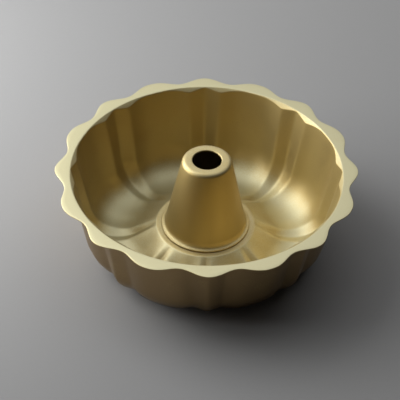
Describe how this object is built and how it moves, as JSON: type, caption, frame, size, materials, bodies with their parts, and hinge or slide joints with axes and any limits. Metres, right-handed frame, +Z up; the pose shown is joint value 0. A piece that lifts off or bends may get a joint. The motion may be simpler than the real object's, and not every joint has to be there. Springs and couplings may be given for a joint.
{
  "type": "fluted ring cake pan",
  "caption": "Deep fluted ring cake pan in gold non-stick steel, with a scalloped flange and a tapered centre tube that is open at its top.",
  "frame": {"origin": "on the pan's axis, on the surface that the pan stands on", "axes": "+Z up along the pan's axis, -Y through the middle of one narrow flute, which faces the viewer"},
  "size_m": [0.25, 0.25, 0.0872],
  "materials": {
    "gold_nonstick_steel": "satin champagne gold non-stick coat on drawn carbon steel"
  },
  "bodies": {
    "root": {"fluted_bowl": "gold_nonstick_steel", "centre_tube": "gold_nonstick_steel"}
  },
  "joints": []
}
